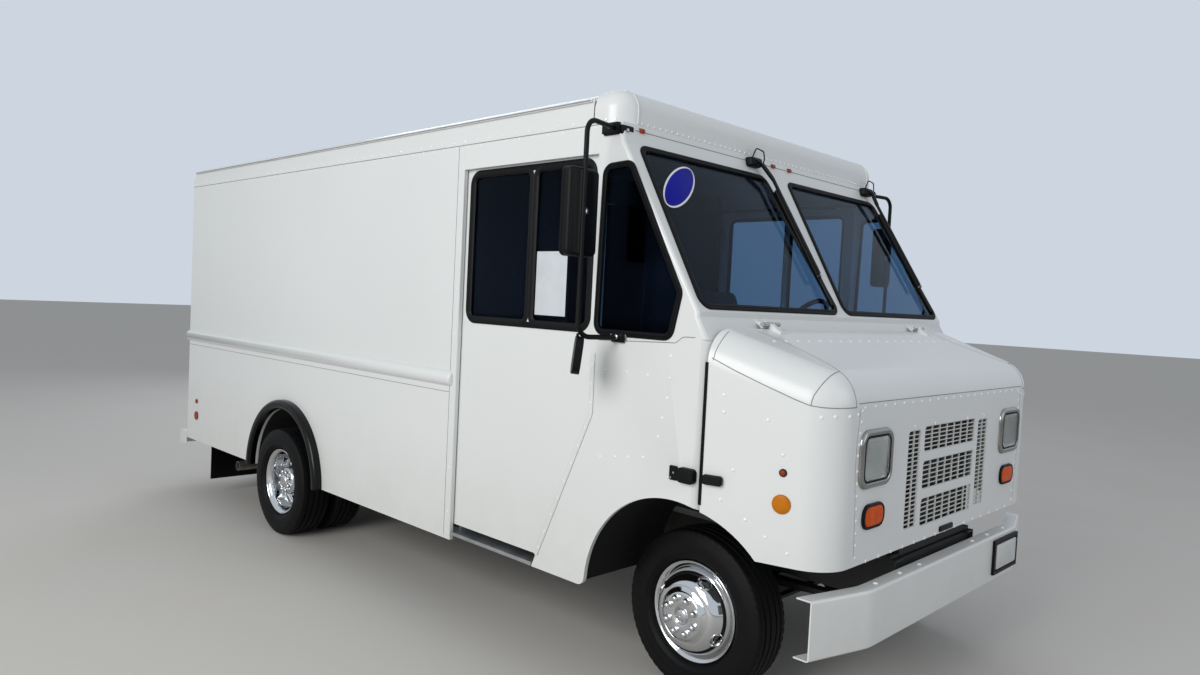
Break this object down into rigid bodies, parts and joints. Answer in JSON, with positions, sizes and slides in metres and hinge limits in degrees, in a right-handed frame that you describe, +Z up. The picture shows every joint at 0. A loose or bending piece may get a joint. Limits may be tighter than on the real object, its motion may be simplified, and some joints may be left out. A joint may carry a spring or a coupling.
{
  "type": "walk-in step van",
  "caption": "White walk-in step van with a short rounded hood, split windshield, sliding cab doors, tall box body and twin rear wheels.",
  "frame": {"origin": "on the ground under the centre of the bounding box", "axes": "+Z up, the front faces -Y, +X is the driver's left-hand side"},
  "size_m": [2.952, 6.21, 2.69],
  "materials": {
    "white_paint": "gloss white enamel",
    "liner_panel": "satin light grey",
    "sill_aluminium": "checker plate",
    "floor_ply": "worn plate",
    "black_chassis": "satin black",
    "engine_metal": "rough",
    "exhaust_steel": "dull",
    "black_rubber": "matte",
    "housing_black": "matte black",
    "window_glass": "clear, light green tint",
    "grille_metal": "white bars",
    "headlamp_chrome": "polished",
    "amber_lens": "amber lens",
    "red_lens": "red lens",
    "tyre_rubber": "matte",
    "wheel_chrome": "polished",
    "cab_plastic": "grained",
    "seat_cloth": "woven"
  },
  "bodies": {
    "body": {"body_floor": "floor_ply", "bulkhead": "liner_panel", "chassis_frame": "black_chassis", "cowl": "white_paint", "dashboard": "cab_plastic", "driver_seat": "seat_cloth", "engine": "engine_metal", "engine_cover": "cab_plastic", "exhaust": "exhaust_steel", "fender_flares": "black_rubber", "front_axle": "black_chassis", "front_bumper": "white_paint", "fuel_tank": "black_chassis", "marker_lamps": "red_lens", "mirror_left": "housing_black", "mirror_right": "housing_black", "mud_flaps": "black_rubber", "plate_holder": "housing_black", "quarter_glass": "window_glass", "radiator": "engine_metal", "rear_axle": "black_chassis", "rear_bumper": "white_paint", "rear_frame": "white_paint", "roof": "white_paint", "roof_cap": "white_paint", "rub_rails": "white_paint", "side_liners": "liner_panel", "side_panel_left": "white_paint", "side_panel_right": "white_paint", "springs": "black_chassis", "step_wells": "sill_aluminium", "tail_lamps": "red_lens", "wheel_housings": "housing_black", "windshield": "window_glass", "wipers": "black_rubber"},
    "hood": {"hood": "white_paint", "grille": "grille_metal", "headlamps": "headlamp_chrome", "turn_lamps": "amber_lens", "hood_latches": "black_rubber"},
    "cab_door_right": {"cab_door_right": "white_paint", "cab_door_glass_right": "window_glass"},
    "cab_door_left": {"cab_door_left": "white_paint", "cab_door_glass_left": "window_glass"},
    "rear_door_right": {"rear_door_right": "white_paint", "rear_door_glass_right": "window_glass"},
    "rear_door_left": {"rear_door_left": "white_paint", "rear_door_glass_left": "window_glass"},
    "knuckle_right": {"knuckle_right": "black_chassis"},
    "knuckle_left": {"knuckle_left": "black_chassis"},
    "wheel_front_right": {"tyre_front_right": "tyre_rubber", "rim_front_right": "wheel_chrome"},
    "wheel_front_left": {"tyre_front_left": "tyre_rubber", "rim_front_left": "wheel_chrome"},
    "wheels_rear_right": {"tyres_rear_right": "tyre_rubber", "rims_rear_right": "wheel_chrome"},
    "wheels_rear_left": {"tyres_rear_left": "tyre_rubber", "rims_rear_left": "wheel_chrome"},
    "steering_wheel": {"steering_wheel": "cab_plastic"}
  },
  "joints": [
    {"name": "steer_left", "type": "hinge", "parent": "body", "child": "knuckle_left", "pos_m": [0.655, -2.297, 0.368], "axis": [0, 0, 1], "range_deg": [-32, 32]},
    {"name": "steer_right", "type": "hinge", "parent": "body", "child": "knuckle_right", "pos_m": [-0.655, -2.297, 0.368], "axis": [0, 0, 1], "range_deg": [-32, 32]},
    {"name": "steering_wheel_turn", "type": "hinge", "parent": "body", "child": "steering_wheel", "pos_m": [0.56, -1.9, 1.64], "axis": [0, 0.8192, 0.5736], "range_deg": [-544, 544]},
    {"name": "front_left_spin", "type": "hinge", "parent": "knuckle_left", "child": "wheel_front_left", "pos_m": [0.802, -2.297, 0.368], "axis": [1, 0, 0], "continuous": true},
    {"name": "front_right_spin", "type": "hinge", "parent": "knuckle_right", "child": "wheel_front_right", "pos_m": [-0.802, -2.297, 0.368], "axis": [1, 0, 0], "continuous": true},
    {"name": "rear_left_spin", "type": "hinge", "parent": "body", "child": "wheels_rear_left", "pos_m": [1, 1.089, 0.368], "axis": [1, 0, 0], "continuous": true},
    {"name": "rear_right_spin", "type": "hinge", "parent": "body", "child": "wheels_rear_right", "pos_m": [-1, 1.089, 0.368], "axis": [1, 0, 0], "continuous": true},
    {"name": "cab_door_right_slide", "type": "slide", "parent": "body", "child": "cab_door_right", "axis": [0, 1, 0], "range_m": [0, 0.75]},
    {"name": "cab_door_left_slide", "type": "slide", "parent": "body", "child": "cab_door_left", "axis": [0, 1, 0], "range_m": [0, 0.75]},
    {"name": "rear_door_right_swing", "type": "hinge", "parent": "body", "child": "rear_door_right", "pos_m": [-0.779, 2.926, 1.58], "axis": [0, 0, 1], "range_deg": [0, 170]},
    {"name": "rear_door_left_swing", "type": "hinge", "parent": "body", "child": "rear_door_left", "pos_m": [0.779, 2.926, 1.58], "axis": [0, 0, -1], "range_deg": [0, 170]},
    {"name": "hood_lift", "type": "hinge", "parent": "body", "child": "hood", "pos_m": [0, -2.524, 1.668], "axis": [-1, 0, 0], "range_deg": [0, 50]}
  ],
  "couplings": [
    {"joint": "steer_right", "follows": "steer_left", "ratio": 1},
    {"joint": "steering_wheel_turn", "follows": "steer_left", "ratio": 17}
  ]
}
